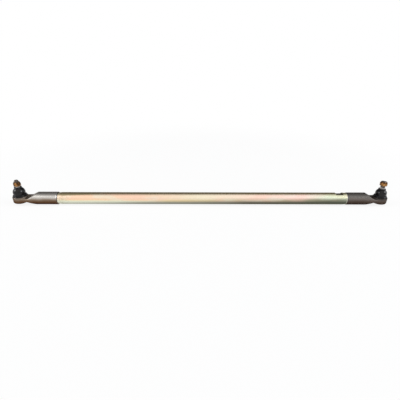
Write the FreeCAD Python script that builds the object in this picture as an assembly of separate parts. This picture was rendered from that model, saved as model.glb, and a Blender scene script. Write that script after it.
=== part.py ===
"""Steering drag link: a plated round bar with a forged ball joint screwed on each end.

Millimetres. The bar lies along +X, the ball studs point up along +Z and -Y is the front.
The origin is on the left stud's axis, at the big end of its taper, where a steering arm seats.
"""
import FreeCAD
import Part

import math
import os

V = FreeCAD.Vector

# Bar
CENTRE_DISTANCE = 1058.5        # ball centre to ball centre
BAR_RADIUS = 17.5
REGISTER_LENGTH = 8.0           # shallow turned band at each end of the bar
REGISTER_STEP = 0.5             # how far the band lies under the bar's skin
REGISTER_CHAMFER = 0.8
THREAD_RADIUS = 12.0            # M24 screwed ends
THREAD_CHAMFER = 1.5
THREAD_CLEARANCE = 0.05
THREAD_END_GAP = 3.0            # air left at the bottom of each threaded hole
FLAT_LENGTH = 21.0              # milled flat that holds the bar while an end is screwed on
FLAT_HEIGHT = 12.8              # from the bar's axis to the flat
FLAT_TURN = -11.0               # degrees about the bar from straight up, towards the back
FLAT_FROM_MOUTH = 12.0          # plain bar between the right mouth and the flat

# Fits inside each ball joint
BALL_CLEARANCE = 0.05
BUSH_CLEARANCE = 0.05
SOFT_GAP = 0.2                  # rubber to its neighbours
MAX_TILT = 26.0                 # degrees that the stud may lean before its neck meets the mouth

# Castle nut and thread, the same on both ends
STUD_THREAD_RADIUS = 6.0        # M12
NUT_ACROSS_FLATS = 19.0
NUT_HEX_HEIGHT = 7.5
NUT_CROWN_HEIGHT = 3.5
NUT_CROWN_RADIUS = 8.4
NUT_SLOT_WIDTH = 3.2
NUT_SLOT_COUNT = 6
NUT_CHAMFER_ANGLE = 30.0
NUT_THREAD_CLEARANCE = 0.05
PIN_HOLE_RADIUS = 1.4
TIP_CHAMFER = 1.2

# Closing parts under the ball
DISC_SPRING_THICKNESS = 0.9
PLATE_THICKNESS = 1.6
ROLLED_LIP = 0.8                # rim rolled over the closing plate

LEFT = {
    "side": "left",
    "mouth": 113.3,             # ball centre to the sleeve's open end
    "sleeve_radius": 18.6,
    "sleeve_chamfer": 2.0,
    "thread_depth": 50.0,
    "neck_top": 4.2,            # flats of the neck above and below the bar's axis
    "neck_bottom": 5.6,
    "ramp_foot_top": 30.0,      # where the flats start to rise, from the ball centre
    "ramp_end_top": 56.5,
    "ramp_foot_bottom": 24.5,
    "ramp_end_bottom": 54.5,
    "ramp_blend": 14.0,
    "drum_radius": 20.8,
    "drum_top": 8.0,
    "drum_shoulder": -7.4,      # lowest full radius of the drum
    "ball_radius": 10.5,
    "seat_wall": 3.0,
    "seat_top": 4.6,
    "neck_radius": 5.6,
    "taper_base": 22.0,         # big end of the taper, above the ball centre
    "taper_radius": 7.6,
    "taper_length": 16.0,
    "taper_fall": 1.0,          # radius lost along the taper, 1 in 8 on diameter
    "nut_lift": 2.0,            # from the taper's small end to the nut
    "nut_turn": 8.0,            # degrees about the stud
    "tip": 5.5,                 # stud above the nut's crown
    "boot_base_radius": 18.7,
    "boot_base_height": 3.0,
    "boot_waist_radius": 15.7,
    "boot_waist_height": 2.2,
    "boot_dome_radius": 16.6,
    "boot_dome_height": 20.5,
    "boot_cheek_radius": 14.3,  # a point of the dome between its widest place and the collar
    "boot_cheek_height": 27.4,
    "boot_collar": 33.3,        # where the dome runs into the collar
    "boot_top": 36.0,
    "boot_lip_radius": 8.7,
    "boot_wall": 2.0,
}

RIGHT = {
    "side": "right",
    "mouth": 100.5,
    "sleeve_radius": 17.9,
    "sleeve_chamfer": 1.4,
    "thread_depth": 44.0,
    "neck_top": 3.8,
    "neck_bottom": 6.3,
    "ramp_foot_top": 24.5,
    "ramp_end_top": 46.5,
    "ramp_foot_bottom": 23.5,
    "ramp_end_bottom": 48.5,
    "ramp_blend": 12.0,
    "drum_radius": 19.8,
    "drum_top": 7.0,
    "drum_shoulder": -8.0,
    "ball_radius": 10.5,
    "seat_wall": 3.0,
    "seat_top": 4.6,
    "neck_radius": 5.6,
    "taper_base": 22.0,
    "taper_radius": 7.6,
    "taper_length": 15.0,
    "taper_fall": 0.94,
    "nut_lift": 6.0,
    "nut_turn": 0.0,
    "tip": 1.0,
    "boot_base_radius": 17.0,
    "boot_base_height": 3.0,
    "boot_waist_radius": 14.7,
    "boot_waist_height": 2.2,
    "boot_dome_radius": 15.1,
    "boot_dome_height": 18.5,
    "boot_cheek_radius": 13.3,
    "boot_cheek_height": 25.0,
    "boot_collar": 29.8,
    "boot_top": 32.4,
    "boot_lip_radius": 8.3,
    "boot_wall": 1.8,
}

BOTTOM_SLOPE_RADIUS = 13.4      # where the drum's sloping underside meets the rolled lip
UNDERSIDE_ROUND = 2.2           # how far the drum's lower corner draws in
UNDERSIDE_DROP = 3.4            # and how far it drops
EDGE_ROUND = 1.8                # rounded edges of the flattened neck
CORNER_ROUND = 1.5              # where the neck runs into the drum
RIM_ROUND = 2.0                 # upper edge of the drum
SEAT_SPLIT = 0.2                # gap between the upper and lower ball seats
RING_WIRE = 0.8                 # radius of the wire rings that hold the boots


def arc(start, middle, end):
    """One round edge of a profile through three (across, up) points."""
    points = [V(p[0], 0, p[1]) for p in (start, middle, end)]
    return Part.Arc(*points).toShape()


def line(start, end):
    return Part.LineSegment(V(start[0], 0, start[1]), V(end[0], 0, end[1])).toShape()


def profile(points):
    """A closed face in the XZ plane. A point given as a pair of points is an arc's middle and end."""
    edges = []
    last = points[0]
    for step in points[1:]:
        if isinstance(step[0], tuple):
            middle, end = step
            edges.append(arc(last, middle, end))
        else:
            end = step
            edges.append(line(last, end))
        last = end
    if math.dist(last, points[0]) > 1e-6:
        edges.append(line(last, points[0]))
    return Part.Face(Part.Wire(edges))


def turned(points, seam=0):
    """A solid turned about Z from (radius, height) points, its seam at that angle from +X."""
    face = profile(points)
    face.rotate(V(0, 0, 0), V(0, 0, 1), seam)
    return face.revolve(V(0, 0, 0), V(0, 0, 1), 360)


def bend_middle(start, inset, drop):
    """The middle of a bend that leaves a vertical wall at start and runs inwards and down."""
    radius = (inset * inset + drop * drop) / (2 * inset)
    half = math.asin(drop / radius) / 2
    return start[0] - radius * (1 - math.cos(half)), start[1] - radius * math.sin(half)


def turned_along_x(points, x):
    """A solid turned about X from (radius, distance) points, starting at x and running to +X."""
    solid = turned(points)
    solid.rotate(V(0, 0, 0), V(0, 1, 0), 90)
    solid.translate(V(x, 0, 0))
    return solid


def on_circle(radius, height):
    """The distance from the axis of a circle's point at that height."""
    return math.sqrt(radius * radius - height * height)


def arc_middle(radius, low, high):
    """The point of a ball's outline half way between two heights."""
    start = math.asin(low / radius)
    end = math.asin(high / radius)
    half = (start + end) / 2
    return radius * math.cos(half), radius * math.sin(half)


def tilted_reach(height, radius):
    """How far a shank of that radius reaches from the axis at a height when it leans fully."""
    lean = math.radians(MAX_TILT)
    return height * math.tan(lean) + radius / math.cos(lean)


def seat_radius(end):
    return end["ball_radius"] + BALL_CLEARANCE


def seat_outer(end):
    return end["ball_radius"] + end["seat_wall"]


def seat_floor(end):
    """Underside of the lower ball seat, which leaves the bottom of the ball free."""
    return -0.72 * end["ball_radius"]


def plate_top(end):
    """The closing plate lies just under the ball."""
    return -(end["ball_radius"] + 2 * SOFT_GAP)


def plate_bottom(end):
    return plate_top(end) - PLATE_THICKNESS


def bar():
    """The round bar with its screwed ends, turned registers and milled flat."""
    length = CENTRE_DISTANCE - LEFT["mouth"] - RIGHT["mouth"]
    register = BAR_RADIUS - REGISTER_STEP
    left_thread = LEFT["thread_depth"] - THREAD_END_GAP
    right_thread = RIGHT["thread_depth"] - THREAD_END_GAP
    points = [
        (0, -left_thread),
        (THREAD_RADIUS - THREAD_CHAMFER, -left_thread),
        (THREAD_RADIUS, THREAD_CHAMFER - left_thread),
        (THREAD_RADIUS, 0),
        (register - REGISTER_CHAMFER, 0),
        (register, REGISTER_CHAMFER),
        (register, REGISTER_LENGTH),
        (BAR_RADIUS, REGISTER_LENGTH + REGISTER_STEP),
        (BAR_RADIUS, length - REGISTER_LENGTH - REGISTER_STEP),
        (register, length - REGISTER_LENGTH),
        (register, length - REGISTER_CHAMFER),
        (register - REGISTER_CHAMFER, length),
        (THREAD_RADIUS, length),
        (THREAD_RADIUS, length + right_thread - THREAD_CHAMFER),
        (THREAD_RADIUS - THREAD_CHAMFER, length + right_thread),
        (0, length + right_thread),
    ]
    solid = turned_along_x(points, LEFT["mouth"])
    flat_end = CENTRE_DISTANCE - RIGHT["mouth"] - FLAT_FROM_MOUTH
    cutter = Part.makeBox(
        FLAT_LENGTH, 4 * BAR_RADIUS, BAR_RADIUS,
        V(flat_end - FLAT_LENGTH, -2 * BAR_RADIUS, FLAT_HEIGHT))
    cutter.rotate(V(0, 0, 0), V(1, 0, 0), FLAT_TURN)
    return solid.cut(cutter)


def neck_prism(end):
    """Everything between the forging's upper and lower faces, seen from the side."""
    reach = end["sleeve_radius"] + 1.0
    far = end["mouth"] + 1.0
    top, bottom = end["neck_top"], -end["neck_bottom"]
    rise = (end["sleeve_radius"] - top) / (end["ramp_end_top"] - end["ramp_foot_top"])
    fall = (end["sleeve_radius"] + bottom) / (end["ramp_end_bottom"] - end["ramp_foot_bottom"])
    over_top = end["ramp_end_top"] + (reach - end["sleeve_radius"]) / rise
    over_bottom = end["ramp_end_bottom"] + (reach - end["sleeve_radius"]) / fall
    outline = [
        (0, top),
        (end["ramp_foot_top"], top),
        (over_top, reach),
        (far, reach),
        (far, -reach),
        (over_bottom, -reach),
        (end["ramp_foot_bottom"], bottom),
        (0, bottom),
    ]
    prism = profile(outline).extrude(V(0, 2 * reach, 0))
    prism.translate(V(0, -reach, 0))
    feet = [(end["ramp_foot_top"], top), (end["ramp_foot_bottom"], bottom)]
    edges = [e for e in prism.Edges if is_edge_at(e, feet)]
    return prism.makeFillet(end["ramp_blend"], edges)


def is_edge_at(edge, places):
    """True for an edge that runs along Y through one of the (x, z) places."""
    first, last = edge.Vertexes[0].Point, edge.Vertexes[-1].Point
    along_y = abs(first.x - last.x) + abs(first.z - last.z) < 1e-6
    return along_y and any(abs(first.x - x) + abs(first.z - z) < 1e-6 for x, z in places)


def drum(end):
    """The round ball housing before it is bored."""
    radius, top, shoulder = end["drum_radius"], end["drum_top"], end["drum_shoulder"]
    low = plate_bottom(end) - ROLLED_LIP
    return turned([
        (0, top),
        (radius, top),
        (radius, shoulder),
        (bend_middle((radius, shoulder), UNDERSIDE_ROUND, UNDERSIDE_DROP),
         (radius - UNDERSIDE_ROUND, shoulder - UNDERSIDE_DROP)),
        (BOTTOM_SLOPE_RADIUS, low),
        (0, low),
    ], seam=180)


def socket(end):
    """The space inside the housing: flared mouth, ball seats, plate and rolled lip."""
    seat, top = seat_outer(end) + BUSH_CLEARANCE, end["seat_top"] + BUSH_CLEARANCE
    throat = on_circle(seat_radius(end), top) + BALL_CLEARANCE
    above = end["drum_top"] + 1.0
    lip = plate_bottom(end)
    opening = seat - 2.6
    return turned([
        (0, above),
        (tilted_reach(above, end["neck_radius"]), above),
        (throat, top),
        (seat, top),
        (seat, lip),
        (opening, lip),
        (opening, lip - ROLLED_LIP - 1.0),
        (0, lip - ROLLED_LIP - 1.0),
    ])


def samples(edge):
    """Five points along an edge."""
    start, span = edge.FirstParameter, edge.LastParameter - edge.FirstParameter
    return [edge.valueAt(start + span * i / 4) for i in range(5)]


def is_neck_edge(edge, end):
    """True for an edge between the neck's flats or ramps and the sleeve's round skin."""
    points = samples(edge)
    on_skin = all(abs(math.hypot(p.y, p.z) - end["sleeve_radius"]) < 1e-3 for p in points)
    return on_skin and 1.0 < points[2].x < end["ramp_end_top"] + 1.0


def is_drum_corner(edge, end):
    """True for an edge where the neck runs into the drum's wall."""
    low, high = end["drum_shoulder"] + 1e-2, end["drum_top"] - 1e-2
    on_wall = all(abs(math.hypot(p.x, p.y) - end["drum_radius"]) < 1e-2 for p in samples(edge))
    return on_wall and all(p.x > 0 and low < p.z < high for p in samples(edge))


def corner_round(end):
    """Radius of the inner corner, as far as the drum's wall leaves room above and below the neck."""
    above = end["drum_top"] - end["neck_top"]
    below = -end["neck_bottom"] - end["drum_shoulder"]
    return min(CORNER_ROUND, 0.4 * above, 0.8 * below)


def rim_round(end):
    return min(RIM_ROUND, 0.55 * (end["drum_top"] - end["neck_top"]))


def housing(end):
    """The forging: threaded sleeve, flattened neck and ball housing in one piece."""
    radius, mouth, chamfer = end["sleeve_radius"], end["mouth"], end["sleeve_chamfer"]
    sleeve = turned_along_x([
        (0, 0),
        (radius, 0),
        (radius, mouth - chamfer),
        (radius - chamfer, mouth),
        (0, mouth),
    ], 0)
    neck = sleeve.common(neck_prism(end))
    neck = neck.makeFillet(EDGE_ROUND, [e for e in neck.Edges if is_neck_edge(e, end)])
    body = neck.fuse(drum(end)).removeSplitter()
    body = body.makeFillet(corner_round(end), [e for e in body.Edges if is_drum_corner(e, end)])
    body = body.makeFillet(rim_round(end), [e for e in body.Edges if is_rim(e, end["drum_top"])])
    depth = end["thread_depth"]
    hole = turned_along_x([
        (0, mouth - depth),
        (THREAD_RADIUS + THREAD_CLEARANCE, mouth - depth),
        (THREAD_RADIUS + THREAD_CLEARANCE, mouth + 1),
        (0, mouth + 1),
    ], 0)
    return body.cut(hole).cut(socket(end))


def ball_stud(end):
    """Ball, neck, taper and thread turned from one bar, cross drilled for a split pin."""
    ball, neck = end["ball_radius"], end["neck_radius"]
    foot = -0.86 * ball
    base, small = end["taper_base"], end["taper_base"] + end["taper_length"]
    thread_start = small + 1.0
    tip = nut_base(end) + NUT_HEX_HEIGHT + NUT_CROWN_HEIGHT + end["tip"]
    solid = turned([
        (0, foot),
        (on_circle(ball, foot), foot),
        (arc_middle(ball, foot, on_circle(ball, neck)), (neck, on_circle(ball, neck))),
        (neck, base - 6.0),
        (end["taper_radius"] - 0.4, base - 1.2),
        (end["taper_radius"], base),
        (end["taper_radius"] - end["taper_fall"], small),
        (STUD_THREAD_RADIUS, thread_start),
        (STUD_THREAD_RADIUS, tip - TIP_CHAMFER),
        (STUD_THREAD_RADIUS - TIP_CHAMFER, tip),
        (0, tip),
    ])
    hole_height = nut_base(end) + NUT_HEX_HEIGHT + PIN_HOLE_RADIUS + 0.3
    hole = Part.makeCylinder(
        PIN_HOLE_RADIUS, 4 * STUD_THREAD_RADIUS, V(-2 * STUD_THREAD_RADIUS, 0, hole_height), V(1, 0, 0))
    return solid.cut(hole)


def nut_base(end):
    return end["taper_base"] + end["taper_length"] + end["nut_lift"]


def castle_nut(end):
    """Hexagon nut with a slotted crown."""
    base = nut_base(end)
    corner = NUT_ACROSS_FLATS / math.sqrt(3)
    height = NUT_HEX_HEIGHT + NUT_CROWN_HEIGHT
    ring = [V(corner * math.cos(math.radians(60 * i)), corner * math.sin(math.radians(60 * i)), base)
            for i in range(7)]
    hexagon = Part.Face(Part.makePolygon(ring)).extrude(V(0, 0, NUT_HEX_HEIGHT))
    half, drop = NUT_ACROSS_FLATS / 2, math.tan(math.radians(NUT_CHAMFER_ANGLE))
    bevel = (corner - half) * drop
    rounded = turned([
        (0, base),
        (half, base),
        (corner, base + bevel),
        (corner, base + NUT_HEX_HEIGHT - bevel),
        (half, base + NUT_HEX_HEIGHT),
        (0, base + NUT_HEX_HEIGHT),
    ])
    crown = Part.makeCylinder(NUT_CROWN_RADIUS, height, V(0, 0, base))
    crown = crown.makeChamfer(0.7, [e for e in crown.Edges if is_rim(e, base + height)])
    nut = hexagon.common(rounded).fuse(crown)
    bore = Part.makeCylinder(STUD_THREAD_RADIUS + NUT_THREAD_CLEARANCE, height, V(0, 0, base))
    nut = nut.cut(bore)
    for i in range(NUT_SLOT_COUNT // 2):
        slot = Part.makeBox(
            2 * NUT_ACROSS_FLATS, NUT_SLOT_WIDTH, NUT_CROWN_HEIGHT,
            V(-NUT_ACROSS_FLATS, -NUT_SLOT_WIDTH / 2, base + NUT_HEX_HEIGHT))
        slot.rotate(V(0, 0, 0), V(0, 0, 1), 360.0 / NUT_SLOT_COUNT * i)
        nut = nut.cut(slot)
    nut.rotate(V(0, 0, 0), V(0, 0, 1), end["nut_turn"])
    return nut


def is_rim(edge, height):
    """True for a full circle at that height."""
    return len(edge.Vertexes) == 1 and abs(edge.Vertexes[0].Point.z - height) < 1e-6


def upper_seat(end):
    """Acetal ring above the ball's middle."""
    inner, outer, top = seat_radius(end), seat_outer(end), end["seat_top"]
    low = SEAT_SPLIT / 2
    return turned([
        (on_circle(inner, low), low),
        (outer, low),
        (outer, top),
        (on_circle(inner, top), top),
        (arc_middle(inner, low, top), (on_circle(inner, low), low)),
    ])


def lower_seat(end):
    """Acetal ring under the ball's middle, pressed up by the disc spring."""
    inner, outer, low = seat_radius(end), seat_outer(end), seat_floor(end)
    high = -SEAT_SPLIT / 2
    return turned([
        (on_circle(inner, high), high),
        (outer, high),
        (outer, low),
        (on_circle(inner, low), low),
        (arc_middle(inner, low, high), (on_circle(inner, high), high)),
    ])


def disc_spring(end):
    """Coned spring washer between the lower seat and the closing plate."""
    outer = seat_outer(end) - SOFT_GAP
    inner = 0.72 * end["ball_radius"]
    high, low = seat_floor(end), plate_top(end)
    return turned([
        (inner, high - DISC_SPRING_THICKNESS),
        (inner, high),
        (outer, low + DISC_SPRING_THICKNESS),
        (outer, low),
    ])


def closing_plate(end):
    """Pressed disc that closes the housing from below, under the rolled lip."""
    outer = seat_outer(end)
    return Part.makeCylinder(outer, PLATE_THICKNESS, V(0, 0, plate_bottom(end)))


def boot_base(end):
    return end["drum_top"] + SOFT_GAP


def shank_radius(end, height):
    """The stud's radius where the boot grips its taper."""
    along = (height - end["taper_base"]) / end["taper_length"]
    return end["taper_radius"] - end["taper_fall"] * along


def dust_boot(end):
    """Rubber boot: flange on the housing, waist, dome and a lip round the taper."""
    base, top, wall = boot_base(end), end["boot_top"], end["boot_wall"]
    flange, waist = end["boot_base_radius"], end["boot_waist_radius"]
    dome, dome_height = end["boot_dome_radius"], end["boot_dome_height"]
    lip, grip = end["boot_lip_radius"], shank_radius(end, top) + SOFT_GAP + 0.2
    flange_top = base + end["boot_base_height"]
    waist_top = flange_top + end["boot_waist_height"]
    shoulder = end["boot_collar"]
    cheek, cheek_height = end["boot_cheek_radius"], end["boot_cheek_height"]
    side = dome - 0.3 * (dome - waist)
    opening = tilted_reach(base, end["neck_radius"]) + 1.0
    return turned([
        (opening, base),
        (flange, base),
        ((flange + 0.5, base + 1.5), (flange - 0.6, flange_top)),
        (waist, flange_top + 0.3),
        (waist, waist_top),
        ((side, (waist_top + dome_height) / 2), (dome, dome_height)),
        ((cheek, cheek_height), (lip, shoulder)),
        (lip, top),
        (grip, top),
        (grip, shoulder - wall),
        ((cheek - wall, cheek_height - 0.4 * wall), (dome - wall, dome_height)),
        ((side - wall, (waist_top + dome_height) / 2), (waist - wall, waist_top)),
        (waist - wall, flange_top),
        (opening, flange_top - 0.8),
    ])


def wire_ring(radius, height):
    """Round-section ring about Z."""
    return Part.makeTorus(radius, RING_WIRE, V(0, 0, height))


def boot_base_ring(end):
    """Wire ring in the boot's waist, holding it down on the housing."""
    height = boot_base(end) + end["boot_base_height"] + 0.3 + SOFT_GAP / 2 + RING_WIRE
    return wire_ring(end["boot_waist_radius"] + SOFT_GAP / 2 + RING_WIRE, height)


def boot_neck_ring(end):
    """Wire ring round the boot's lip."""
    height = end["boot_top"] - 1.2
    return wire_ring(end["boot_lip_radius"] + SOFT_GAP / 2 + RING_WIRE, height)


PIECES = {
    "housing": housing,
    "ball_stud": ball_stud,
    "castle_nut": castle_nut,
    "upper_ball_seat": upper_seat,
    "lower_ball_seat": lower_seat,
    "disc_spring": disc_spring,
    "closing_plate": closing_plate,
    "dust_boot": dust_boot,
    "boot_base_ring": boot_base_ring,
    "boot_neck_ring": boot_neck_ring,
}


def save(shape, name):
    """Moves the frame's origin to the left taper and writes one node."""
    shape.translate(V(0, 0, -LEFT["taper_base"]))
    shape.exportStep("parts/" + name + ".step")
    print(name, "solids", len(shape.Solids), "valid", shape.isValid(), "volume", round(shape.Volume, 1))


def main():
    os.makedirs("parts", exist_ok=True)
    save(bar(), "bar")
    for end in (LEFT, RIGHT):
        for piece, make in PIECES.items():
            solid = make(end)
            if end is RIGHT:
                solid.rotate(V(0, 0, 0), V(0, 0, 1), 180)
                solid.translate(V(CENTRE_DISTANCE, 0, 0))
            save(solid, end["side"] + "_" + piece)


main()
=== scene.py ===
# %% [markdown]
# # A steering drag link
# A drag link carries the steering box's push to the front axle. It is a plated round bar with a
# forged ball joint screwed on each end. The measured model gives every rigid shape, and this
# lesson dresses it: plating, forged skin, rubber boots, ground tapers and rolled threads.
# We load the model first, because every new piece is placed from it.

import math

import bpy
from mathutils import Matrix, Vector


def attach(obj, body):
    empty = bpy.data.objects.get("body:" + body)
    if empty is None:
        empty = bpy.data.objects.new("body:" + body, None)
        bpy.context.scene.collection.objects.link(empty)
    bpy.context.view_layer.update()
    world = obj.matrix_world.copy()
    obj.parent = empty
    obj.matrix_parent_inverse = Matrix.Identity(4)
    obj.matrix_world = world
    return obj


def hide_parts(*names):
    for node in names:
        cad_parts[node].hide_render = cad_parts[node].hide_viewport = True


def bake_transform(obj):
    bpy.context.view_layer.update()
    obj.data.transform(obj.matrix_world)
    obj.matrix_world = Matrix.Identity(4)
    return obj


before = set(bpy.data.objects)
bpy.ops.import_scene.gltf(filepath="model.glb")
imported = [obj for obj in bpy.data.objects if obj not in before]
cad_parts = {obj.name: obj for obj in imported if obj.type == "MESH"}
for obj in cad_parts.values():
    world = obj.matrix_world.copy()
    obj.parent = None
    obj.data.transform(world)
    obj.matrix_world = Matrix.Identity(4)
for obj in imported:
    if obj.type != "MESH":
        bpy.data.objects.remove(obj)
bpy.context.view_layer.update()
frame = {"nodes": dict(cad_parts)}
nodes = frame["nodes"]
MM = 0.001
BAR_AXIS_Z = -22 * MM
CENTRE_DISTANCE = 1058.5 * MM       # from ball centre to ball centre
SIDES = ("left", "right")
AXIS_X = {"left": 0.0, "right": CENTRE_DISTANCE}

# %% [markdown]
# ## The camera
# The photograph was taken from close by with a wide lens: both studs lean outwards in the picture
# although they stand upright. We worked backwards from that lean and from the widths of the two
# sleeves. The camera stands 886 mm from the bar and looks down at it by 26 degrees. A longer lens
# from further away would frame the bar as well, but it would draw the studs upright.

# %% Camera
PICTURE = 400                       # pixels each way
FOCAL_PIXELS = 300
SENSOR_WIDTH = 36
CAMERA_DISTANCE = 0.886
LOOK_DOWN = math.radians(26)
PICTURE_ROLL = math.radians(0.11)
BAR_MIDDLE = Vector((0.5295, 0, BAR_AXIS_Z))
BAR_OFFSET_PIXELS = (0.2, 1.8)      # right of and above the picture's middle

towards = Vector((0, -math.cos(LOOK_DOWN), math.sin(LOOK_DOWN)))
upwards = Vector((0, math.sin(LOOK_DOWN), math.cos(LOOK_DOWN)))
sideways = Vector((1, 0, 0))
rolled_side = sideways * math.cos(PICTURE_ROLL) + upwards * math.sin(PICTURE_ROLL)
rolled_up = towards.cross(rolled_side)

camera_data = bpy.data.cameras.new("camera")
camera = bpy.data.objects.new("camera", camera_data)
bpy.context.scene.collection.objects.link(camera)
camera_data.sensor_width = SENSOR_WIDTH
camera_data.lens = SENSOR_WIDTH * FOCAL_PIXELS / PICTURE
camera_data.shift_x = -BAR_OFFSET_PIXELS[0] / PICTURE
camera_data.shift_y = -BAR_OFFSET_PIXELS[1] / PICTURE
axes = Matrix((rolled_side, rolled_up, towards)).transposed().to_4x4()
camera.matrix_world = Matrix.Translation(BAR_MIDDLE + CAMERA_DISTANCE * towards) @ axes
bpy.context.scene.camera = camera
print("lens", camera_data.lens, "mm")

# %% [markdown]
# ## Shader sums in plain Python
# A finish is mostly arithmetic: a position, some noise, a mask, a mix. Writing that with nodes is
# slow to read. So a small class wraps a socket, and an expression such as 1 - mask * 0.5 adds the
# Math nodes by itself.

# %% Shader values
class Value:
    """A number, vector, colour or shader that flows through a node tree."""

    def __init__(self, nodes, socket):
        self.nodes, self.socket = nodes, socket

    def math(self, operation, *values):
        return self.nodes.add("ShaderNodeMath", {"operation": operation}, *values)

    def capped(self):
        """The value, but never more than 1."""
        return self.math("MINIMUM", self, 1.0)

    def __add__(self, other): return self.math("ADD", self, other)
    def __radd__(self, other): return self.math("ADD", other, self)
    def __sub__(self, other): return self.math("SUBTRACT", self, other)
    def __rsub__(self, other): return self.math("SUBTRACT", other, self)
    def __mul__(self, other): return self.math("MULTIPLY", self, other)
    def __rmul__(self, other): return self.math("MULTIPLY", other, self)
    def __truediv__(self, other): return self.math("DIVIDE", self, other)
    def __rtruediv__(self, other): return self.math("DIVIDE", other, self)
    def __abs__(self): return self.math("ABSOLUTE", self)


print("a value knows", ", ".join(name.strip("_") for name in vars(Value) if callable(vars(Value)[name])))

# %% [markdown]
# ## One way to add a node
# Materials, the floor and the room all need nodes. Each node could be made and linked by hand in
# three or four lines. One method does it instead: it takes the node's type, its settings and what
# flows into it, so the patterns below read like short recipes.

# %% Nodes
class Nodes:
    """Adds nodes to a tree. Every node comes from the one method add."""

    def __init__(self, tree):
        self.tree = tree

    def add(self, kind, settings=None, *values, output=0, **named):
        """Makes a node, sets its settings, fills its open inputs and returns one output."""
        made = self.tree.nodes.new(kind)
        for name, value in (settings or {}).items():
            if name == "stops":
                for position, colour in value[2:]:
                    made.color_ramp.elements.new(position)
                for element, (position, colour) in zip(made.color_ramp.elements, value):
                    element.position, element.color = position, (*colour, 1)
            else:
                setattr(made, name, value)
        open_inputs = [socket for socket in made.inputs if socket.enabled]
        pairs = list(zip(open_inputs, values))
        pairs += [(made.inputs[name.replace("_", " ")], value) for name, value in named.items()]
        for socket, value in pairs:
            self.fill(socket, value)
        if isinstance(output, str):
            return Value(self, made.outputs[output])
        open_outputs = [socket for socket in made.outputs if socket.enabled]
        return Value(self, open_outputs[output]) if open_outputs else None

    def fill(self, socket, value):
        """Links a value to a socket, or writes a plain number or colour into it."""
        if isinstance(value, Value):
            self.tree.links.new(value.socket, socket)
        else:
            socket.default_value = (*value, 1.0) if socket.type == "RGBA" else value

    def place(self, scale=(1, 1, 1), shift=(0, 0, 0)):
        """Where a point of the object is, in metres, stretched by scale."""
        where = self.add("ShaderNodeTexCoord", output="Object")
        return self.add("ShaderNodeMapping", Vector=where, Scale=scale, Location=shift)

    def part_of(self, vector, axis):
        """One coordinate of a vector."""
        return self.add("ShaderNodeSeparateXYZ", {}, vector, output=axis)

    def length(self, vector):
        return self.add("ShaderNodeVectorMath", {"operation": "LENGTH"}, vector)

    def noise(self, scale, detail, stretch=(1, 1, 1), shift=(0, 0, 0), roughness=0.5):
        """Cloudy values round 0.5. A stretch below 1 draws the clouds out along that axis."""
        where = self.place(stretch, shift)
        sizes = {"Scale": scale, "Detail": detail, "Roughness": roughness}
        return self.add("ShaderNodeTexNoise", Vector=where, **sizes)

    def ramp(self, value, *stops):
        """A colour for each stop's position from 0 to 1, blended between them."""
        return self.add("ShaderNodeValToRGB", {"stops": stops}, value)

    def fade(self, value, low, high):
        """0 at low, 1 at high, smooth between."""
        smooth_step = {"interpolation_type": "SMOOTHSTEP"}
        return self.add("ShaderNodeMapRange", smooth_step, value, low, high, 0.0, 1.0)

    def mix(self, share, first, second):
        """From the first colour to the second."""
        return self.add("ShaderNodeMix", {"data_type": "RGBA"}, share, first, second)

    def ray(self, kind):
        """1 for rays of that kind and 0 for all others."""
        return self.add("ShaderNodeLightPath", output=kind)


print("recipes", ", ".join(name for name in vars(Nodes) if not name.startswith("_")))

# %% [markdown]
# ## Finishes
# A finish is one material for one real surface. What is the same all over is set at once, and what
# changes over the surface is fed in afterwards. Relief is left to a Bump node, because grain and
# pits are far finer than the mesh.

# %% Finishes
class Finish(Nodes):
    """A procedural material. Its plain values are given at once, its patterns are added in steps."""

    def __init__(self, name, **plain):
        self.material = bpy.data.materials.new(name)
        self.material.use_nodes = True
        super().__init__(self.material.node_tree)
        self.skin = self.tree.nodes["Principled BSDF"]
        self.wear(**plain)

    def wear(self, **sockets):
        """Feeds the skin's named inputs."""
        for name, value in sockets.items():
            self.fill(self.skin.inputs[name.replace("_", " ")], value)

    def relief(self, height, depth, strength):
        """Turns a height from 0 to 1 into bumps of that depth in metres."""
        self.wear(Normal=self.add("ShaderNodeBump", Height=height, Strength=strength, Distance=depth))


def dress(finish, *names):
    """Gives measured nodes a finish."""
    for name in names:
        mesh = nodes[name].data
        mesh.materials.clear()
        mesh.materials.append(finish.material)
    print(finish.material.name, "on", ", ".join(names))


print("undressed nodes", len(nodes))
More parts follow.
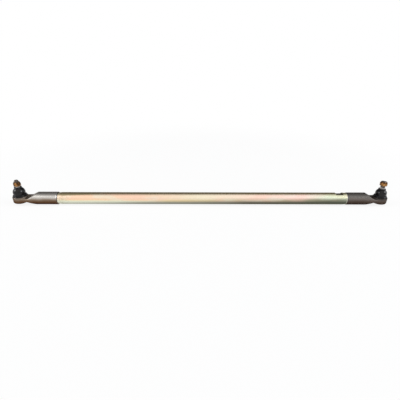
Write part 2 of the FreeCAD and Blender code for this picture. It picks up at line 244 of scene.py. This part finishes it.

# %% [markdown]
# ## Yellow zinc on the bar
# The bar is plated with zinc and passivated yellow. The film is so thin that it shows pale
# rainbow tints: peach at the left, cream in the middle, pink and then green towards the right.
# An image could carry those tints, but ramps need no picture and stay sharp from close by. One
# ramp along the bar tints its upper side, one the middle and one the lower side, and long
# streaks of noise break them up. The split by height is painted light and shade: the middle and
# lower ramps darken towards the right as painted shade, and the lower side is the darkest.

# %% Bar tints and painted shade
zinc = Finish("bar zinc", Specular_Tint=(0.60, 0.58, 0.52))
where = zinc.place()
position = zinc.part_of(where, 0)
drift = zinc.noise(9.0, 3.0, (1, 3, 3), (0.3, 0, 0))
streaks = zinc.noise(70.0, 4.0, (0.12, 1, 1))
along = (zinc.part_of(where, 0) + 0.07 * (drift - 0.5)) / CENTRE_DISTANCE
height = (zinc.part_of(where, 2) - BAR_AXIS_Z) / MM + 2.6 * (streaks - 0.5)
upper = zinc.ramp(
    along,
    (0.08, (0.88, 0.60, 0.42)),
    (0.20, (0.94, 0.66, 0.46)),
    (0.34, (0.94, 0.70, 0.50)),
    (0.50, (0.92, 0.82, 0.62)),
    (0.66, (0.97, 0.75, 0.62)),
    (0.79, (0.97, 0.73, 0.66)),
    (0.86, (0.69, 0.70, 0.50)),
)
# Painted shade: the middle and lower ramps darken towards the right.
middle = zinc.ramp(
    along,
    (0.10, (0.97, 0.76, 0.40)),
    (0.36, (0.95, 0.71, 0.34)),
    (0.50, (0.74, 0.62, 0.38)),
    (0.70, (0.58, 0.48, 0.32)),
    (0.79, (0.44, 0.40, 0.28)),
    (0.88, (0.24, 0.255, 0.17)),
)
lower = zinc.ramp(
    along,
    (0.08, (0.62, 0.64, 0.54)),
    (0.20, (0.52, 0.54, 0.46)),
    (0.34, (0.30, 0.31, 0.26)),
    (0.50, (0.24, 0.235, 0.195)),
    (0.64, (0.110, 0.104, 0.080)),
    (0.86, (0.090, 0.096, 0.072)),
)
# The edge between the ramps is tilted along the bar, and the painted shade moves with it.
shade_slant = 2.6 * zinc.fade(along, 0.60, 0.25) - 1.8 * zinc.fade(along, 0.70, 0.88)
tint_and_shade = zinc.mix(zinc.fade(height + shade_slant, 8.0, 1.0), upper, middle)
blush = zinc.fade(zinc.noise(22.0, 3.0, (0.5, 1.5, 1.5), (0.1, 0, 0)), 0.45, 0.70)
tint_and_shade = zinc.mix(0.40 * blush, tint_and_shade, (0.97, 0.60, 0.50))
frost = zinc.fade(zinc.noise(30.0, 3.0, (0.4, 1.5, 1.5), (0.7, 0, 0)), 0.52, 0.72)
tint_and_shade = zinc.mix(0.35 * frost, tint_and_shade, (0.74, 0.88, 0.76))
# Painted reflection: a pale floor reflection low on the left part of the bar.
floor_reflection = zinc.fade(along, 0.48, 0.30) * zinc.fade(height, 2.0, -1.0)
tint_and_shade = zinc.mix(0.8 * floor_reflection, tint_and_shade, (0.84, 0.90, 0.72))
# Painted shade: the lower side takes the dark lower ramp.
tint_and_shade = zinc.mix(zinc.fade(height + shade_slant, 4.4, -7.4), tint_and_shade, lower)
print("nodes in the tints", len(zinc.tree.nodes))

# %% [markdown]
# ## Wear and painted shade on the bar
# The dark olive along the crest is painted shade, and the film is flecked next to the left sleeve.
# The shallow turned band beside each sleeve is cleaner, and the milled flat near the right end was
# cut through the plating; its near-black colour is painted shade. Each of these could be a piece of
# its own, but a mask is enough, since the shape is already there: the crest's goes by height, the
# flecks' and bands' by the place along the bar, and the flat's by that place and by the distance
# from the bar's axis.

# %% Bar wear and painted shade
LEFT_BAND_EDGE, RIGHT_BAND_EDGE = 121.5 * MM, 955.0 * MM
FLAT_START, FLAT_END = 923.5 * MM, 947.5 * MM
# Painted shade: the crest's olive. The flecks' olive is the film's own.
CREST_SHADE, OLIVE_FLECK = (0.44, 0.37, 0.20), (0.38, 0.34, 0.21)
# Painted shade: the flat's near-black.
CLEAN_BAND, FLAT_SHADE = (0.92, 0.88, 0.72), (0.035, 0.024, 0.012)

grain = zinc.noise(300.0, 3.0)
crest_shade_edge = 3.2 * zinc.fade(along, 0.26, 0.10) + 4.0 * (grain - 0.5)
# Painted shade: the crest darkens to olive along the top.
tint_and_shade = zinc.mix(0.9 * zinc.fade(height + crest_shade_edge, 14.8, 17.6), tint_and_shade, CREST_SHADE)
beside_left = zinc.fade(position, 0.165, 0.125)
specks = zinc.fade(grain, 0.60 - 0.18 * beside_left, 0.82 - 0.12 * beside_left)
tint_and_shade = zinc.mix((0.30 + 0.35 * beside_left) * specks, tint_and_shade, OLIVE_FLECK)
left_band = zinc.fade(position, LEFT_BAND_EDGE + MM, LEFT_BAND_EDGE - MM)
right_band = zinc.fade(position, RIGHT_BAND_EDGE - MM, RIGHT_BAND_EDGE + MM)
tint_and_shade = zinc.mix(0.45 * (left_band + 0.6 * right_band) * (1 - specks), tint_and_shade, CLEAN_BAND)
from_axis = zinc.length(zinc.place((0, 1, 1), (0, 0, -BAR_AXIS_Z)))
flat = zinc.fade(from_axis, 17.35 * MM, 17.15 * MM)
flat = flat * zinc.fade(position, FLAT_END + MM / 2, FLAT_END - MM / 2)
flat = flat * zinc.fade(position, FLAT_START - MM / 2, FLAT_START + MM / 2)
# Painted shade: the milled flat is painted near black.
tint_and_shade = zinc.mix(0.95 * flat, tint_and_shade, FLAT_SHADE)
rings = {"Scale": 900.0, "Distortion": 1.2, "Detail": 2.0}
marks = zinc.add("ShaderNodeTexWave", {"bands_direction": "X"}, Vector=where, **rings)
roughness = 0.26 + 0.14 * streaks + 0.10 * specks + 0.4 * flat
zinc.wear(Base_Color=tint_and_shade, Metallic=1 - 0.9 * flat, Roughness=roughness)
zinc.relief(marks + streaks, 0.000004, 0.5)
dress(zinc, "bar")

# %% [markdown]
# ## Forged steel
# The two housings are drop forgings. Their skin is satin and a little pitted. Its colour by height
# is painted light and shade: a painted highlight band high up, and darker brown painted shade
# lower down. The rim of each drum is darker with painted shade under the boot. Only the end face
# of each sleeve is machined, and its near-black blue-grey is painted shade. One function makes both
# skins from a list of heights and colours, and masks by distance pick out the rim and the faced end.

# %% Forged skin
LOWEST, TALL = 20.0, 40.0           # millimetres below the bar's axis, and from there to the top
RIM_RADIUS, RIM_BLUR = 20 * MM, 6 * MM
# The faced end's near-black blue-grey is painted shade.
FACED_END_SHADE = (0.055, 0.062, 0.080)


def forged(name, stops, face_x, towards_bar, joint_x, rim_shade, metallic, rough):
    """A skin with painted light and shade by height in millimetres, painted shade on the drum's rim, and a
    faced end past face_x painted dark as shade.
    """
    finish = Finish(name, Metallic=metallic, Specular_Tint=(0.40, 0.36, 0.34), Specular_IOR_Level=0.3)
    where = finish.place()
    cloud = finish.noise(38.0, 4.0)
    pits = finish.noise(900.0, 3.0, roughness=0.6)
    height = (finish.part_of(where, 2) - BAR_AXIS_Z) / MM + 7.0 * (cloud - 0.5) + 2.0 * (pits - 0.5)
    # The colour by height is painted light and shade: a painted highlight band high up, painted shade
    # towards the bottom.
    skin_stops = [((mm + LOWEST) / TALL, colour) for mm, colour in stops]
    skin = finish.ramp((height + LOWEST) / TALL, *skin_stops)
    from_joint = finish.length(finish.place((1, 1, 0), (-joint_x, 0, 0)))
    # Painted shade on the drum's rim, under the boot.
    shaded_rim = finish.fade(from_joint, RIM_RADIUS + RIM_BLUR, RIM_RADIUS) * finish.fade(height, 1.0, 6.0)
    skin = finish.mix(0.85 * shaded_rim, skin, rim_shade)
    past_edge = (finish.part_of(where, 0) - face_x) * (towards_bar / MM)
    faced = finish.fade(past_edge, -0.15, 0.15)
    # Painted shade on the faced end, in its upper part.
    skin = finish.mix(faced * finish.fade(height, -9.0, 0.0), skin, FACED_END_SHADE)
    finish.wear(Base_Color=skin, Roughness=(rough + 0.16 * (pits - 0.5)) * (1 - 0.35 * faced))
    finish.relief((0.6 * pits + cloud) * (1 - faced), 0.00009, 0.6)
    return finish


# Heights in millimetres and colours: the lightest stop is a painted highlight, the low stops are painted
# shade.
LEFT_SHADED_SKIN = [
    (-12, (0.045, 0.014, 0.005)),
    (-6, (0.105, 0.052, 0.026)),
    (-1, (0.155, 0.098, 0.062)),
    (3, (0.26, 0.20, 0.15)),
    (6, (0.43, 0.39, 0.35)),
    (11, (0.55, 0.525, 0.49)),
    (16, (0.33, 0.31, 0.285)),
]
RIGHT_SHADED_SKIN = [
    (-12, (0.020, 0.008, 0.004)),
    (-6, (0.052, 0.033, 0.024)),
    (0, (0.090, 0.068, 0.056)),
    (6, (0.150, 0.130, 0.118)),
    (11, (0.120, 0.112, 0.104)),
    (15, (0.090, 0.084, 0.078)),
]
left_forging = forged(
    "left forging", LEFT_SHADED_SKIN, face_x=112.3 * MM, towards_bar=1, joint_x=AXIS_X["left"],
    rim_shade=(0.10, 0.078, 0.062), metallic=0.9, rough=0.36)
right_forging = forged(
    "right forging", RIGHT_SHADED_SKIN, face_x=958.8 * MM, towards_bar=-1, joint_x=AXIS_X["right"],
    rim_shade=(0.035, 0.03, 0.028), metallic=0.7, rough=0.46)
dress(left_forging, "left_housing")
dress(right_forging, "right_housing")

# %% [markdown]
# ## Small steel and plastic parts
# The castle nuts are zinc plated and passivated gold. The rings and springs are dark, and the ball
# seats are white acetal. They differ only in two colours, metal and roughness, so one function
# makes them all, each with fine noise in its colour and roughness.

# %% Small parts
CLOUD_SCALE, PATCH_SCALE = 400.0, 100.0


def simple(name, colour, shade, metallic, rough):
    """One colour with softly darker patches."""
    finish = Finish(name, Metallic=metallic)
    cloud = finish.noise(CLOUD_SCALE, 4.0)
    patch = finish.fade(finish.noise(PATCH_SCALE, 3.0), 0.35, 0.65)
    finish.wear(Base_Color=finish.mix(patch, colour, shade), Roughness=rough + 0.15 * (cloud - 0.5))
    finish.relief(cloud, 0.00002, 0.5)
    return finish


gold_zinc = simple("gold zinc", (0.46, 0.235, 0.085), (0.075, 0.034, 0.015), 1.0, 0.22)
machined = simple("machined steel", (0.53, 0.505, 0.49), (0.24, 0.225, 0.215), 1.0, 0.20)
thread_steel = simple("thread steel", (0.26, 0.24, 0.22), (0.13, 0.10, 0.085), 1.0, 0.24)
dark_wire = simple("dark wire", (0.05, 0.05, 0.055), (0.03, 0.03, 0.032), 0.8, 0.42)
spring_steel = simple("spring steel", (0.25, 0.26, 0.29), (0.16, 0.17, 0.2), 1.0, 0.3)
plate_steel = simple("plate steel", (0.40, 0.38, 0.35), (0.26, 0.23, 0.2), 0.9, 0.42)
acetal = simple("acetal", (0.84, 0.83, 0.79), (0.78, 0.77, 0.73), 0.0, 0.4)
for side in SIDES:
    dress(gold_zinc, side + "_castle_nut")
    dress(dark_wire, side + "_boot_base_ring", side + "_boot_neck_ring")
    dress(spring_steel, side + "_disc_spring")
    dress(plate_steel, side + "_closing_plate")
    dress(acetal, side + "_upper_ball_seat", side + "_lower_ball_seat")

# %% [markdown]
# ## A lathe made of extrusions
# Boots and studs are round, so they are turned. Spinning a profile would do, but we add one circle
# and draw it up, ring by ring, to the next radius and height, as a potter does. It keeps rings and
# columns even, which bends well.

# %% Lathe
RING_CORNERS = 72
BALL_Z = BAR_AXIS_Z                 # the balls' centres lie on the bar's axis


def in_metres(outline):
    """From millimetres above the ball's centre to metres in the model."""
    return [(r * MM, z * MM + BALL_Z) for r, z in outline]


def lathe(name, axis_x, outline):
    """A closed skin of rings. The outline holds (radius, height) pairs in metres."""
    radius, height = outline[0]
    bpy.ops.object.select_all(action="DESELECT")
    bpy.ops.mesh.primitive_circle_add(vertices=RING_CORNERS, radius=radius, location=(axis_x, 0, height))
    piece = bpy.context.object
    piece.name = piece.data.name = name
    bpy.ops.object.mode_set(mode="EDIT")
    for next_radius, next_height in outline[1:]:
        bpy.ops.mesh.extrude_region_move(TRANSFORM_OT_translate={"value": (0, 0, next_height - height)})
        grow = next_radius / radius
        bpy.ops.transform.resize(value=(grow, grow, 1), center_override=(axis_x, 0, next_height))
        radius, height = next_radius, next_height
    bpy.ops.mesh.select_all(action="SELECT")
    bpy.ops.mesh.remove_doubles(threshold=1e-6)
    bpy.ops.mesh.fill_holes(sides=0)
    bpy.ops.mesh.normals_make_consistent(inside=False)
    bpy.ops.object.mode_set(mode="OBJECT")
    bpy.ops.object.transform_apply(location=True, rotation=True, scale=True)
    return piece


def smooth(piece, degrees):
    """Shades a piece smoothly, apart from edges that are sharper than the angle."""
    bpy.ops.object.select_all(action="DESELECT")
    piece.select_set(True)
    bpy.context.view_layer.objects.active = piece
    bpy.ops.object.shade_smooth_by_angle(angle=math.radians(degrees))


def finish_piece(piece, finish, replaced):
    """Gives a new piece its material and slot, and hides the measured node that it stands for."""
    piece.data.materials.clear()
    piece.data.materials.append(finish.material)
    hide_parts(replaced)
    print(piece.name, "faces", len(piece.data.polygons))


print("ball centres at x", AXIS_X, "and z", BALL_Z)

# %% [markdown]
# ## The studs' thread
# A stud's thread is rolled, and it could be drawn as bumps only, but then its outline would stay
# smooth. So we sweep one tooth up a helix with the Screw modifier. Its two ends are drawn in, one
# to the thread's root and one to the chamfer at the tip.

# %% Stud thread
THREAD_RADIUS, THREAD_PITCH, THREAD_DEPTH = 5.98, 1.5, 0.8
THREAD_ROOT = THREAD_RADIUS - THREAD_DEPTH
ROOT_OVERLAP = 0.15                 # how deep the tooth's foot sits in the stud's core
CREST_SHARE, FOOT_SHARE = 0.12, 0.5  # half widths of the tooth, as shares of the pitch
STEPS_A_TURN = 40
TIP_CHAMFER = 1.2
RUN_IN = 0.8                        # how fast the tooth grows at its lower end


def thread(name, axis_x, low, high):
    """A rolled thread between two heights above the ball's centre, in millimetres."""
    start = (axis_x, 0, low * MM + BALL_Z)
    bpy.ops.object.select_all(action="DESELECT")
    bpy.ops.mesh.primitive_plane_add(size=MM, location=start, rotation=(math.radians(90), 0, 0))
    tooth = bpy.context.object
    tooth.name = tooth.data.name = name
    bpy.ops.object.transform_apply(location=False, rotation=True, scale=False)
    for corner in tooth.data.vertices:
        outer = corner.co.x > 0
        corner.co.x = (THREAD_RADIUS if outer else THREAD_ROOT - ROOT_OVERLAP) * MM
        half_width = (CREST_SHARE if outer else FOOT_SHARE) * THREAD_PITCH * MM
        corner.co.z = math.copysign(half_width, corner.co.z)
    screw = tooth.modifiers.new("screw", "SCREW")
    screw.axis, screw.screw_offset = "Z", THREAD_PITCH * MM
    screw.iterations = int((high - low) / THREAD_PITCH)
    screw.steps = screw.render_steps = STEPS_A_TURN
    screw.use_merge_vertices = False
    bpy.ops.object.modifier_apply(modifier=screw.name)
    bpy.ops.object.mode_set(mode="EDIT")
    bpy.ops.mesh.select_all(action="SELECT")
    bpy.ops.mesh.fill_holes(sides=0)
    bpy.ops.mesh.normals_make_consistent(inside=False)
    bpy.ops.object.mode_set(mode="OBJECT")
    for corner in tooth.data.vertices:
        height = corner.co.z / MM + low
        reach = math.hypot(corner.co.x, corner.co.y) / MM
        chamfer = THREAD_RADIUS - (height - (high - TIP_CHAMFER))
        room = min(THREAD_RADIUS, chamfer, THREAD_ROOT + RUN_IN * (height - low))
        room = max(room, THREAD_ROOT - ROOT_OVERLAP)
        if reach > room:
            corner.co.x *= room / reach
            corner.co.y *= room / reach
    bpy.ops.object.transform_apply(location=True, rotation=True, scale=True)
    return tooth


print("thread M", round(2 * THREAD_RADIUS), "pitch", THREAD_PITCH, "mm")

# %% [markdown]
# ## Ball studs
# A stud is turned from one bar: ball, neck, ground taper and rolled thread. The taper is bright
# and the thread is darker, so the stud is made as shank, core and thread with two finishes. All
# three ride on the stud's body and stand for the one measured stud.

# %% Ball studs
STUDS = {
    "left": {"taper": 16.0, "fall": 1.0, "lift": 2.0, "tip": 5.5},
    "right": {"taper": 15.0, "fall": 0.94, "lift": 6.0, "tip": 1.0},
}
BALL_RADIUS, NECK_RADIUS, TAPER_BASE, TAPER_RADIUS = 10.5, 5.6, 22.0, 7.6
BALL_FOOT = -0.86                   # the ball's flattened foot, as a share of its radius
NUT_HEIGHT = 11.0
TIP_RADIUS = THREAD_RADIUS - TIP_CHAMFER


def ball_outline(low_angle, high_angle, steps):
    """Points up the ball's side between two angles."""
    angles = [low_angle + (high_angle - low_angle) * i / steps for i in range(steps + 1)]
    return [(BALL_RADIUS * math.cos(a), BALL_RADIUS * math.sin(a)) for a in angles]


for side in SIDES:
    sizes, axis_x, node = STUDS[side], AXIS_X[side], side + "_ball_stud"
    small = TAPER_BASE + sizes["taper"]
    thread_start = small + 1.0
    tip = small + sizes["lift"] + NUT_HEIGHT + sizes["tip"]
    shank_outline = ball_outline(math.asin(BALL_FOOT), math.acos(NECK_RADIUS / BALL_RADIUS), 24) + [
        (NECK_RADIUS, TAPER_BASE - 6.0),
        (TAPER_RADIUS - 0.4, TAPER_BASE - 1.2),
        (TAPER_RADIUS, TAPER_BASE),
        (TAPER_RADIUS - sizes["fall"], small),
        (THREAD_ROOT, thread_start),
    ]
    core_outline = [
        (THREAD_ROOT, thread_start - 1.0),
        (THREAD_ROOT, tip - THREAD_DEPTH - 0.1),
        (TIP_RADIUS - 0.15, tip - 0.15),
        (TIP_RADIUS - 0.5, tip),
        (1.7, tip),
        (0.3, tip - 1.0),
    ]
    shank = lathe(side + "_stud_shank", axis_x, in_metres(shank_outline))
    core = lathe(side + "_stud_core", axis_x, in_metres(core_outline))
    helix = thread(side + "_stud_thread", axis_x, thread_start, tip)
    for piece, finish, sharp in ((shank, machined, 25), (core, thread_steel, 25), (helix, thread_steel, 50)):
        smooth(piece, sharp)
        finish_piece(piece, finish, node)
        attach(piece, side + "_stud")

# %% [markdown]
# ## The boots' outlines
# A boot is thin black rubber: a flange on the housing, a waist under a wire ring, a dome and a
# collar that grips the taper. Its wall has an outer and an inner line, so we write both as one
# closed outline. Arcs through three points give the soft curves without guessing their centres.

# %% Boot outlines
BOOTS = {
    "left": {"flange": 18.7, "waist": 15.7, "dome": 16.6, "dome_z": 20.5, "cheek": 14.3, "cheek_z": 27.4,
             "collar": 33.3, "top": 36.0, "lip": 8.7, "wall": 1.2, "base": 8.2, "grip": 7.1},
    "right": {"flange": 17.0, "waist": 14.7, "dome": 15.1, "dome_z": 18.5, "cheek": 13.3, "cheek_z": 25.0,
              "collar": 29.8, "top": 32.4, "lip": 8.3, "wall": 0.9, "base": 7.2, "grip": 7.3},
}
FLANGE_HEIGHT, WAIST_HEIGHT = 3.0, 2.2


def curve_through(first, middle, last, steps):
    """Points of the arc through three (radius, height) points, the first one left out."""
    (ax, ay), (bx, by), (cx, cy) = first, middle, last
    double_area = 2 * (ax * (by - cy) + bx * (cy - ay) + cx * (ay - by))
    a_square, b_square, c_square = ax * ax + ay * ay, bx * bx + by * by, cx * cx + cy * cy
    centre_x = (a_square * (by - cy) + b_square * (cy - ay) + c_square * (ay - by)) / double_area
    centre_y = (a_square * (cx - bx) + b_square * (ax - cx) + c_square * (bx - ax)) / double_area
    start, end = math.atan2(ay - centre_y, ax - centre_x), math.atan2(cy - centre_y, cx - centre_x)
    reach = math.hypot(ax - centre_x, ay - centre_y)
    angles = [start + (end - start) * i / steps for i in range(1, steps + 1)]
    return [(centre_x + reach * math.cos(a), centre_y + reach * math.sin(a)) for a in angles]


def lower_half(b):
    """From the flange up to the dome's widest ring, outside and back inside."""
    wall, flange_top = b["wall"], b["base"] + FLANGE_HEIGHT
    waist_top = flange_top + WAIST_HEIGHT
    side_r, side_z = b["dome"] - 0.3 * (b["dome"] - b["waist"]), (waist_top + b["dome_z"]) / 2
    foot_r = b["waist"] - wall - 1.0
    flange = [(foot_r, flange_top - 0.6), (foot_r, b["base"]), (b["flange"], b["base"])]
    bulge, edge = (b["flange"] + 0.5, b["base"] + 1.5), (b["flange"] - 0.6, flange_top)
    flange += curve_through(flange[-1], bulge, edge, 6)
    outer = [(b["waist"], flange_top + 0.35), (b["waist"], waist_top)]
    outer += curve_through(outer[-1], (side_r, side_z), (b["dome"], b["dome_z"]), 6)
    inner = [(b["waist"] - wall, flange_top), (b["waist"] - wall, waist_top)]
    inner += curve_through(inner[-1], (side_r - wall, side_z), (b["dome"] - wall, b["dome_z"]), 6)
    return flange + outer + inner[::-1] + [flange[0]]


def upper_half(b):
    """From the dome's widest ring up to the collar's lip, outside and back inside."""
    wall, dome = b["wall"], (b["dome"], b["dome_z"])
    crown = [dome] + curve_through(dome, (b["cheek"], b["cheek_z"]), (b["lip"], b["collar"]), 14)
    rim = [
        (b["lip"], b["top"] - 2.2),
        (b["lip"] - 0.25, b["top"] - 1.2),
        (b["lip"], b["top"] - 0.4),
        (b["lip"] - 0.4, b["top"]),
        (b["grip"] + 0.3, b["top"]),
        (b["grip"], b["top"] - 0.3),
    ]
    inside = [(b["grip"], b["collar"] - wall)]
    inner_cheek = (b["cheek"] - wall, b["cheek_z"] - 0.4 * wall)
    inside += curve_through(inside[-1], inner_cheek, (b["dome"] - wall, b["dome_z"]), 10)
    return crown + rim + inside + [dome]


print("rings in a boot", len(lower_half(BOOTS["left"])) + len(upper_half(BOOTS["left"])))

# %% [markdown]
# ## Dust boots
# When the stud leans, the boot stretches. One bend from housing to stud would shear it, because
# the joint leans about two axes in turn. So the boot is made in two halves, lower and upper, which
# meet at the dome's widest ring. The rubber is nearly black and fairly smooth, so a little dust in
# its roughness is all the pattern that it needs.

# %% Dust boots
LOWER_HELD, UPPER_FREE = 5.4, 1.0   # millimetres above the base, and above the cheek

rubber = Finish("boot rubber", Metallic=0.0, Specular_IOR_Level=0.30)
dust = rubber.noise(120.0, 5.0)
scuffs = rubber.fade(rubber.noise(45.0, 4.0, (1, 1, 0.4)), 0.5, 0.8)
black = rubber.mix(scuffs * 0.5, (0.003, 0.003, 0.004), (0.012, 0.010, 0.009))
rubber.wear(Base_Color=black, Roughness=0.11 + 0.10 * dust)
rubber.relief(dust, 0.00006, 0.5)

for side in SIDES:
    sizes, centre = BOOTS[side], AXIS_X[side]
    held = (sizes["base"] + LOWER_HELD) * MM + BALL_Z
    widest = sizes["dome_z"] * MM + BALL_Z
    free = (sizes["cheek_z"] + UPPER_FREE) * MM + BALL_Z
    for half, outline, bodies, low, high in (
        ("lower", lower_half(sizes), ("link", side + "_boot"), held, widest),
        ("upper", upper_half(sizes), (side + "_boot", side + "_boot_neck"), widest, free),
    ):
        skin = lathe(f"{side}_boot_{half}", centre, in_metres(outline))
        smooth(skin, 60)
        finish_piece(skin, rubber, side + "_dust_boot")
        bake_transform(skin)

# %% [markdown]
# ## Studio
# Metal shows what stands round it, so the room is designed like a lamp. It is bright above and in
# front and dark behind, which gives the bar its dark upper edge. Towards the left the light comes
# from lower down, and the sides are pale blue, which lights the faced ends of the sleeves.
# Above the floor the camera sees a white backdrop, and the metal mirrors the same white band
# along the horizon, because the Light Path node lets us tell the kinds of rays apart.

# %% Room light
world = bpy.data.worlds.new("studio")
bpy.context.scene.world = world
world.use_nodes = True
world.node_tree.nodes.clear()
room = Nodes(world.node_tree)
looking = room.add("ShaderNodeTexCoord", output="Generated")
rightwards, away, high = (room.part_of(looking, axis) for axis in range(3))
lit = room.fade(0.55 * high - 0.85 * away + 0.30 * rightwards, 0.0, 0.75)
horizon = 0.42 + 0.60 * room.fade(rightwards, 0.30, -0.40)
above = room.fade(high, 0.0, 0.60)
level = 0.17 + 0.86 * lit * (horizon + (1 - horizon) * above)
side_light = room.fade(abs(rightwards), 0.72, 0.92)
colour = room.mix(side_light, (1, 1, 1), (0.80, 0.90, 1.0))
studio_light = room.add("ShaderNodeBackground", {}, colour, level + 0.9 * side_light)
plain_white = room.add("ShaderNodeBackground", {}, (1, 1, 1), 1.0)
backdrop = room.fade(abs(high), 0.15, 0.10)
mirrored = room.ray("Is Glossy Ray") + room.ray("Is Transmission Ray")
white_share = (room.ray("Is Camera Ray") + mirrored * backdrop).capped()
shown = room.add("ShaderNodeMixShader", {}, white_share, studio_light, plain_white)
room.add("ShaderNodeOutputWorld", {}, shown)
print("room nodes", len(room.tree.nodes))

# %% [markdown]
# ## Lamps
# Two soft boxes stand to the left and right of the camera. They put a small bright patch on each
# boot and lift the nuts. A sun would do it too, but its hard shadow isn't in a studio picture.

# %% Lamps
SOFT_BOX = (1.4, 0.9)               # metres wide and high
BRIGHTNESS = 7.0


def soft_lamp(name, place):
    """A soft box aimed at the bar. Its power follows from its size and from how bright it looks."""
    width, depth = SOFT_BOX
    bpy.ops.object.light_add(type="AREA", location=place)
    lamp = bpy.context.object
    lamp.name = name
    lamp.data.shape = "RECTANGLE"
    lamp.data.size, lamp.data.size_y = width, depth
    lamp.data.energy = math.pi * width * depth * BRIGHTNESS
    lamp.rotation_euler = (BAR_MIDDLE - Vector(place)).to_track_quat("-Z", "Y").to_euler()
    print(name, "lamp", round(lamp.data.energy, 1), "W")


soft_lamp("left side", (-1.9, -0.7, 1.3))
soft_lamp("right side", (2.96, -0.7, 1.3))

# %% [markdown]
# ## Floor
# The link lies on white paper. A plain white surface would turn grey where the light is weaker, so
# to the rays that look at it the paper mostly glows, and far out it only glows. Near the link a
# share of it stays matt paper, which keeps the link's soft shadow.

# %% Floor
FLOOR_Z = -0.0409
NEAR, FAR = 0.60, 1.2               # metres from the middle of the floor

bpy.ops.mesh.primitive_plane_add(size=8, location=(BAR_MIDDLE.x, 0, FLOOR_Z))
floor = bpy.context.object
floor.name = "floor"
paper = Finish("floor", Base_Color=(0.90, 0.90, 0.90), Roughness=0.9, Specular_IOR_Level=0.0)
floor.data.materials.append(paper.material)
share = 0.86 + 0.14 * paper.fade(paper.length(paper.place()), NEAR, FAR)
looked_at = paper.ray("Is Camera Ray") + paper.ray("Is Glossy Ray") + paper.ray("Is Transmission Ray")
glow = paper.add("ShaderNodeEmission", {}, (1, 1, 1), 1.0)
matt = Value(paper, paper.skin.outputs[0])
both = paper.add("ShaderNodeMixShader", {}, share * looked_at.capped(), matt, glow)
paper.fill(paper.tree.nodes["Material Output"].inputs[0], both)
print("floor at", FLOOR_Z, "m")

# %% [markdown]
# ## View
# The colours are shown as they are written, with no film curve.

# %% View
bpy.context.scene.view_settings.view_transform = "Standard"
